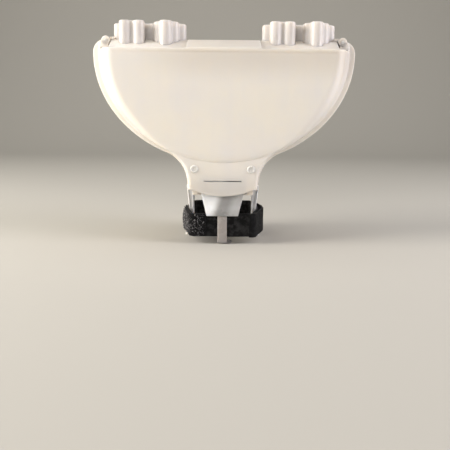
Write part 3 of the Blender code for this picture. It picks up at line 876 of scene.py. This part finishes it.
def make_lid(side):
    half = [(LID_INNER_X, LID_HALF_DEPTH)] + LID_CORNER
    outline = [(side * x, y) for x, y in half] + [(side * x, -y) for x, y in reversed(half)]
    strip = lid_strip(-LID_HALF_DEPTH, LID_HALF_DEPTH, 0.0, LID_THICKNESS, 60)
    ends = span(side, LID_INNER_X, LID_OUTER_X)
    plate = loft("plate", [[(x, y, z) for y, z in strip] for x in ends])
    trim = loft("trim", [[(x, y, z) for x, y in outline] for z in (110.0, 140.0)])
    plate = boolean(plate, trim, "INTERSECT")
    round_edges(plate, 0.6, 3, 40.0)
    opening = offset_plan(PLAN, -0.45)
    cutter = loft("opening", [[(side * DOME_X + x, y, z) for x, y in opening] for z in (115.0, 135.0)])
    parts = [boolean(plate, cutter)]
    end_wall = [(y, lid_height(y) - 0.6) for y in np.linspace(-33.0, 33.0, 41)]
    end_wall += [(33.0, LID_END_Z), (-33.0, LID_END_Z)]
    parts.append(pushed_along_x("end_wall", end_wall, *span(side, LID_OUTER_X - 1.7, LID_OUTER_X - 0.1)))
    low_x, high_x = span(side, 34.1, 87.0)
    for end in (-1, 1):
        low_y, high_y = span(end, LID_HALF_DEPTH - 1.5, LID_HALF_DEPTH)
        parts.append(box_piece("skirt", (low_x, low_y, 115.2), (high_x, high_y, 120.2), 0.4))
    knuckle_ends = (-KNUCKLE_HALF, KNUCKLE_HALF)
    parts.append(bar_along_y("knuckle", side * HINGE_X, HINGE_Z, HINGE_RADIUS, *knuckle_ends, 0.6))
    low_x, high_x = span(side, LID_OUTER_X - 2.8, HINGE_X + 1.5)
    parts.append(box_piece("tab", (low_x, -5.8, 126.8), (high_x, 5.8, 132.6), 1.6, 5))
    return join("lid", parts)


for side_name, side in (("left", -1), ("right", 1)):
    finish_piece(make_lid(side), side_name + "_arched_lid", side_name + "_lid", SHELL_PLASTIC,
                 [side_name + "_lid"])


# %% [markdown]
# ## The studs
# Four snap studs pin the seat's ears to the neck. Each has a flat round head with a
# dimple, turned as one profile about its axis.

# %% Studs
STUD_X = 23.8
STUD_Z = 22.5
# Radius and distance from the middle plane, from the barb inside to the dimpled head outside
STUD_PROFILE = [(0.5, 36.9), (2.3, 36.95), (2.6, 37.2), (2.6, 37.75), (1.6, 37.85), (1.6, 41.8),
                (3.25, 41.9), (3.3, 42.3), (3.2, 42.6), (2.9, 42.85), (2.4, 42.95), (2.05, 42.85),
                (1.85, 42.5), (0.5, 42.4)]


def make_stud(x, end):
    turns = np.linspace(0.0, 2 * math.pi, 41)[:-1]
    rings = []
    for radius, y in STUD_PROFILE:
        rings.append([(x + radius * math.cos(t), end * y, STUD_Z + radius * math.sin(t)) for t in turns])
    return loft("stud", rings)


for end_name, end in (("rear", -1), ("front", 1)):
    for side_name, side in (("left", -1), ("right", 1)):
        stud_name = end_name + "_" + side_name
        finish_piece(make_stud(side * STUD_X, end), stud_name + "_snap", "bowl", FITTING_PLASTIC,
                     [stud_name + "_stud"])


# %% [markdown]
# ## The tongues
# A tongue hangs in the neck's slot, curves outwards over the strap, and ends in a narrow
# strip with a hook foot. It is a sheet that follows a smooth curve through a few levels,
# with Solidify for its thickness.

# %% Tongues
# Height, half-width and distance from the middle plane
TONGUE_LEVELS = np.array([(15.0, 18.5, 38.2), (0.0, 17.75, 38.2), (-6.0, 16.2, 38.2), (-9.0, 15.4, 38.8),
                          (-12.0, 14.6, 40.1), (-14.0, 14.1, 40.5), (-17.3, 13.2, 40.5)])


def make_tongue():
    heights = np.linspace(15.0, -17.3, 44)
    levels = TONGUE_LEVELS[::-1]
    half_widths = np.interp(heights, levels[:, 0], levels[:, 1])
    depths = np.interp(heights, levels[:, 0], levels[:, 2])
    for _ in range(4):
        depths[1:-1] = (depths[:-2] + 2 * depths[1:-1] + depths[2:]) / 4
    across = np.linspace(-1.0, 1.0, 15)
    crown = 1.1 * smoothstep(-heights, 1.5, 7.0)
    rows = zip(heights, half_widths, depths, crown)
    points = np.array([[(w * a, -y - c * (1 - a * a), z) for a in across] for z, w, y, c in rows])
    blade = sheet_of("blade", points)
    if blade.data.polygons[0].normal.y > 0:
        blade.data.flip_normals()
    apply_modifier(blade, "SOLIDIFY", thickness=1.6, offset=1.0)
    round_edges(blade, 0.35)
    strip = box_piece("strip", (-4.0, -42.3, -40.5), (4.0, -40.6, -14.2), 0.45)
    foot = box_piece("foot", (-3.9, -41.7, -40.4), (8.0, -38.4, -38.4), 0.5)
    lip = box_piece("lip", (-15.2, -40.9, 12.0), (15.2, -38.7, 12.6), 0.2)
    return join("tongue", [blade, strip, foot, lip])


rear_tongue = make_tongue()
front_tongue = mirrored_copy(rear_tongue, "front_tongue")
for end_name, tongue in (("rear", rear_tongue), ("front", front_tongue)):
    finish_piece(tongue, end_name + "_spring_tongue", end_name + "_tongue", TONGUE_PLASTIC,
                 [end_name + "_tongue"])


# %% [markdown]
# ## The side legs
# A leg lies along each narrow side of the flash head, under the strap. It is a bar with a
# shallow channel in each edge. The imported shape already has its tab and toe, so a copy of it
# gets round edges, and a lofted core fills most of the depth of its channels.

# %% Side legs
# Height, outer face and half-depth
LEG_LEVELS = [(4.0, 32.2, 9.0), (-6.0, 31.0, 8.4), (-14.0, 30.2, 7.8), (-40.6, 30.2, 6.5)]


def make_leg(side_name, side):
    """The leg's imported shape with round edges, and a core that makes its channels shallow."""
    rings = []
    for z, outer, half_depth in LEG_LEVELS:
        low_x, high_x = side * 26.6, side * (outer - 0.7)
        depth = half_depth - 0.45
        rings.append([(low_x, -depth, z), (high_x, -depth, z), (high_x, depth, z), (low_x, depth, z)])
    return join("leg", [from_node("leg", side_name + "_prong", 0.35), loft("core", rings)])


for side_name, side in (("left", -1), ("right", 1)):
    finish_piece(make_leg(side_name, side), side_name + "_side_leg", "bowl", LEG_PLASTIC,
                 [side_name + "_prong"])


# %% [markdown]
# ## The webbing
# The strap is woven black webbing with a brushed loop face. The weave follows the strap's
# length, so its pattern reads the sheet's own UV map, where U runs along the strap.

# %% Webbing material
def webbing(name, length, width, colour, light):
    """Black weave: weft threads across the strap, warp threads along it, fuzz and patches of wear."""
    material, shader, place = start_material(name, colour, 0.9, Sheen_Weight=0.04, Sheen_Roughness=0.4,
                                             Specular_IOR_Level=0.15)
    tree = place.tree
    uv = Socket(tree, tree.nodes.new("ShaderNodeUVMap").outputs["UV"])
    weft = (uv.part("X") * (length / 1.1 * 2 * math.pi)).math("SINE")
    warp = (uv.part("Y") * (width / 0.9 * 2 * math.pi)).math("SINE")
    weave = (weft * warp * 0.5 + 0.5).clamp()
    fuzz = noise_of(place, 900.0, 3.0, 0.65)
    wear = noise_of(place, 260.0, 2.0).ramp(0.40, 0.70)
    thread = weave * 0.40 + fuzz * 0.25 + wear * 0.35
    feed(shader, "Base Color", thread.ramp(0.25, 0.9).mix(colour, light))
    feed(shader, "Roughness", 0.95 - 0.15 * weave)
    feed(shader, "Normal", bump_of(weave + fuzz * 0.7, 0.00022))
    return material


def hook_material():
    material, shader, place = start_material("hook_fibres", (0.035, 0.034, 0.036), 0.45,
                                             Specular_IOR_Level=0.6)
    # Painted highlights: pale grey specks on the black hooks stand for the glints on their tips.
    painted_glints = noise_of(place, 700.0, 2.0).ramp(0.45, 0.75)
    feed(shader, "Base Color", painted_glints.mix((0.03, 0.03, 0.033), (0.55, 0.54, 0.54)))
    feed(shader, "Roughness", 0.35 + 0.3 * noise_of(place, 300.0))
    feed(shader, "Normal", bump_of(noise_of(place, 1800.0), 0.0001))
    return material


STRAP_LENGTH = 205.0
STRAP_WIDTH = 20.0
WEBBING = webbing("black_webbing", STRAP_LENGTH, STRAP_WIDTH, (0.003, 0.003, 0.0033), (0.034, 0.034, 0.035))
TAIL_WEBBING = webbing("black_webbing_tail", 72.0, STRAP_WIDTH, (0.002, 0.002, 0.0022), (0.016, 0.016, 0.017))
HOOK_BASE = webbing("hook_tape_base", 60.0, 19.5, (0.004, 0.004, 0.0045), (0.016, 0.016, 0.018))
HOOK_FIBRE = hook_material()


# %% [markdown]
# ## The strap
# The strap bends round the neck's fittings like a belt round pegs. Its line is walked
# once, as centres and outward normals, and the band, the hook patch and the free end are
# sheets at different distances from that line. A seeded noise keeps them from being flat.

# %% The strap's line
STRAP_CORNER = 1.5
STRAP_LOW = -35.5
STRAP_HIGH = STRAP_LOW + STRAP_WIDTH
STRAP_PEGS = [(23.8, -36.8), (29.0, -7.0), (29.0, 7.0), (23.8, 36.8), (-23.8, 36.8), (-29.0, 7.0),
              (-29.0, -7.0), (-23.8, -36.8)]


def strap_line(step=0.8, turns=6):
    """Stations once round the strap, from the rear right corner: centre and outward normal."""
    stations = []
    count = len(STRAP_PEGS)
    pegs = np.array(STRAP_PEGS)
    edges = np.roll(pegs, -1, axis=0) - pegs
    lengths = np.linalg.norm(edges, axis=1)
    normals = np.stack([edges[:, 1], -edges[:, 0]], axis=1) / lengths[:, None]
    for i in range(count):
        before = math.atan2(normals[i - 1][1], normals[i - 1][0])
        turn = (math.atan2(normals[i][1], normals[i][0]) - before) % (2 * math.pi)
        for k in range(turns):
            angle = before + turn * k / turns
            stations.append((*pegs[i], math.cos(angle), math.sin(angle)))
        steps = max(2, round(lengths[i] / step))
        for k in range(steps):
            stations.append((*(pegs[i] + edges[i] * k / steps), *normals[i]))
    return np.array(stations)


LINE = strap_line()
print("strap stations", len(LINE))


def strap_sheet(name, stations, offsets, low, high, thickness, wave=0.12, closed=False, seed=0.0, rows=15):
    """A band along the stations at the given offsets, with its thickness, round edges and a slight wave."""
    if closed:
        stations = np.vstack([stations, stations[:1]])
        offsets = np.append(offsets, offsets[0])
    heights = np.linspace(low, high, rows)
    points = np.zeros((rows, len(stations), 3))
    for r, z in enumerate(heights):
        for c, (x, y, nx, ny) in enumerate(stations):
            ripple = wave * noise.noise(Vector((x * 0.12 + seed, y * 0.12, z * 0.05)))
            reach = STRAP_CORNER + offsets[c] + ripple
            sway = 0.25 * noise.noise(Vector((x * 0.05, y * 0.05, seed)))
            points[r, c] = (x + nx * reach, y + ny * reach, z + sway)
    band = sheet_of(name, points)
    only(band)
    if closed:
        bpy.ops.object.mode_set(mode="EDIT")
        bpy.ops.mesh.select_all(action="SELECT")
        bpy.ops.mesh.remove_doubles(threshold=0.001)
        bpy.ops.object.mode_set(mode="OBJECT")
    face = band.data.polygons[len(band.data.polygons) // 2]
    centre = face.center
    nearest = stations[np.hypot(stations[:, 0] - centre.x, stations[:, 1] - centre.y).argmin()]
    if face.normal.x * nearest[2] + face.normal.y * nearest[3] < 0:
        band.data.flip_normals()
    apply_modifier(band, "SOLIDIFY", thickness=thickness, offset=1.0)
    round_edges(band, 0.5)
    return band


# %% Band, hook patch and free end
band = strap_sheet("band", LINE, np.zeros(len(LINE)), STRAP_LOW, STRAP_HIGH, 1.8, closed=True)
finish_piece(band, "strap_loop", "bowl", WEBBING, ["strap_band"], 60.0)

corner_start = int(np.hypot(LINE[:, 0] + 29.0, LINE[:, 1] - 7.0).argmin())
patch_stations = [s for s in LINE[corner_start:] if not (s[1] < -36.0 and s[0] > -14.0)]
PATCH_LINE = np.array(patch_stations)
patch_offsets = np.full(len(PATCH_LINE), 2.1)
patch = strap_sheet("patch", PATCH_LINE, patch_offsets, STRAP_LOW + 0.5, STRAP_HIGH, 1.2, seed=3.0)
finish_piece(patch, "hook_patch", "bowl", HOOK_BASE, ["strap_hook_patch"], 60.0)


def tail_stations():
    rear = [s for s in LINE if s[1] < -36.7 and 23.0 <= s[0] <= 23.7]
    side = [s for s in LINE if s[0] >= 23.7 and s[1] <= 22.0]
    return np.array(rear + side)


TAIL_LINE = tail_stations()
share = np.linspace(0.0, 1.0, len(TAIL_LINE))
tail_offsets = 2.1 + 2.3 * np.sin(math.pi * share) ** 2 + 0.9 * (1 - smoothstep(share, 0.0, 0.12))
tail = strap_sheet("tail", TAIL_LINE, tail_offsets, STRAP_LOW, STRAP_HIGH + 0.5, 1.8, 0.3, seed=8.0)
finish_piece(tail, "strap_free_end", "bowl", TAIL_WEBBING, ["strap_tail"], 60.0)


# %% [markdown]
# ## Hook fibres
# Hook tape looks shaggy because hundreds of stiff little hooks stand on it. One hook is
# modelled as a thin bent wire of a few faces, and copied with a seeded turn and size.

# %% One hook, and many
def make_hook():
    """A bent wire about two millimetres long that stands on Z."""
    line = [(0.0, -0.4), (-0.05, 0.7), (0.15, 1.5), (0.65, 2.0), (1.2, 1.85), (1.45, 1.3)]
    rings = []
    for i, (x, z) in enumerate(line):
        radius = 0.15 if i < len(line) - 1 else 0.08
        before = line[max(i - 1, 0)]
        after = line[min(i + 1, len(line) - 1)]
        lean = math.atan2(after[0] - before[0], after[1] - before[1])
        ring = []
        for k in range(4):
            turn = math.pi / 2 * k
            u = radius * math.cos(turn)
            ring.append((x + u * math.cos(lean), radius * math.sin(turn), z - u * math.sin(lean)))
        rings.append(ring)
    return loft("hook", rings)


def plant_hooks(count=760):
    random = np.random.default_rng(11)
    model = make_hook()
    hooks = []
    for _ in range(count):
        share = random.beta(1.3, 1.3), random.beta(1.15, 1.15)
        x, y, nx, ny = PATCH_LINE[1 + int(share[0] * (len(PATCH_LINE) - 2))]
        reach = STRAP_CORNER + 3.2
        low_z, high_z = STRAP_LOW + 1.2, STRAP_HIGH - 0.7
        place = Vector((x + nx * reach, y + ny * reach, low_z + share[1] * (high_z - low_z)))
        frame_turn = Vector((nx, ny, 0.0)).to_track_quat("Z", "Y").to_matrix().to_4x4()
        spin = Matrix.Rotation(random.uniform(0.0, 2 * math.pi), 4, "Z")
        lean = Matrix.Rotation(random.uniform(-0.7, 0.7), 4, "X")
        swell = 16 * share[0] * (1 - share[0]) * share[1] * (1 - share[1])
        size = Matrix.Scale(random.uniform(0.6, 1.0) * (0.8 + 0.55 * swell), 4)
        mesh = model.data.copy()
        mesh.transform(Matrix.Translation(place) @ frame_turn @ spin @ lean @ size)
        hook = bpy.data.objects.new("hook", mesh)
        bpy.context.scene.collection.objects.link(hook)
        hooks.append(hook)
    bpy.data.objects.remove(model)
    return join("hooks", hooks)


finish_piece(plant_hooks(), "hook_fibres", "bowl", HOOK_FIBRE)


# %% [markdown]
# ## The floor
# A plain pale floor runs up into a backdrop.

# %% Floor and backdrop
def add_stage():
    """A pale sheet that lies under the part and curves up behind it."""
    floor_z = cad_box[0][2] / MM - 0.5
    profile = [(-2500.0, 0.0), (900.0, 0.0)]
    for i in range(1, 13):
        turn = math.radians(90 * i / 12)
        profile.append((900.0 + 700.0 * math.sin(turn), 700.0 * (1 - math.cos(turn))))
    profile.append((1600.0, 3200.0))
    points = np.array([[(x, y, z + floor_z) for x in np.linspace(-4000.0, 4000.0, 9)] for y, z in profile])
    stage = sheet_of("studio_sweep", points)
    stage.data.transform(Matrix.Scale(MM, 4))
    stage.data.materials.append(start_material("pale_sweep", (0.50, 0.485, 0.44), 0.9)[0])
    smooth(stage, 60.0)


add_stage()
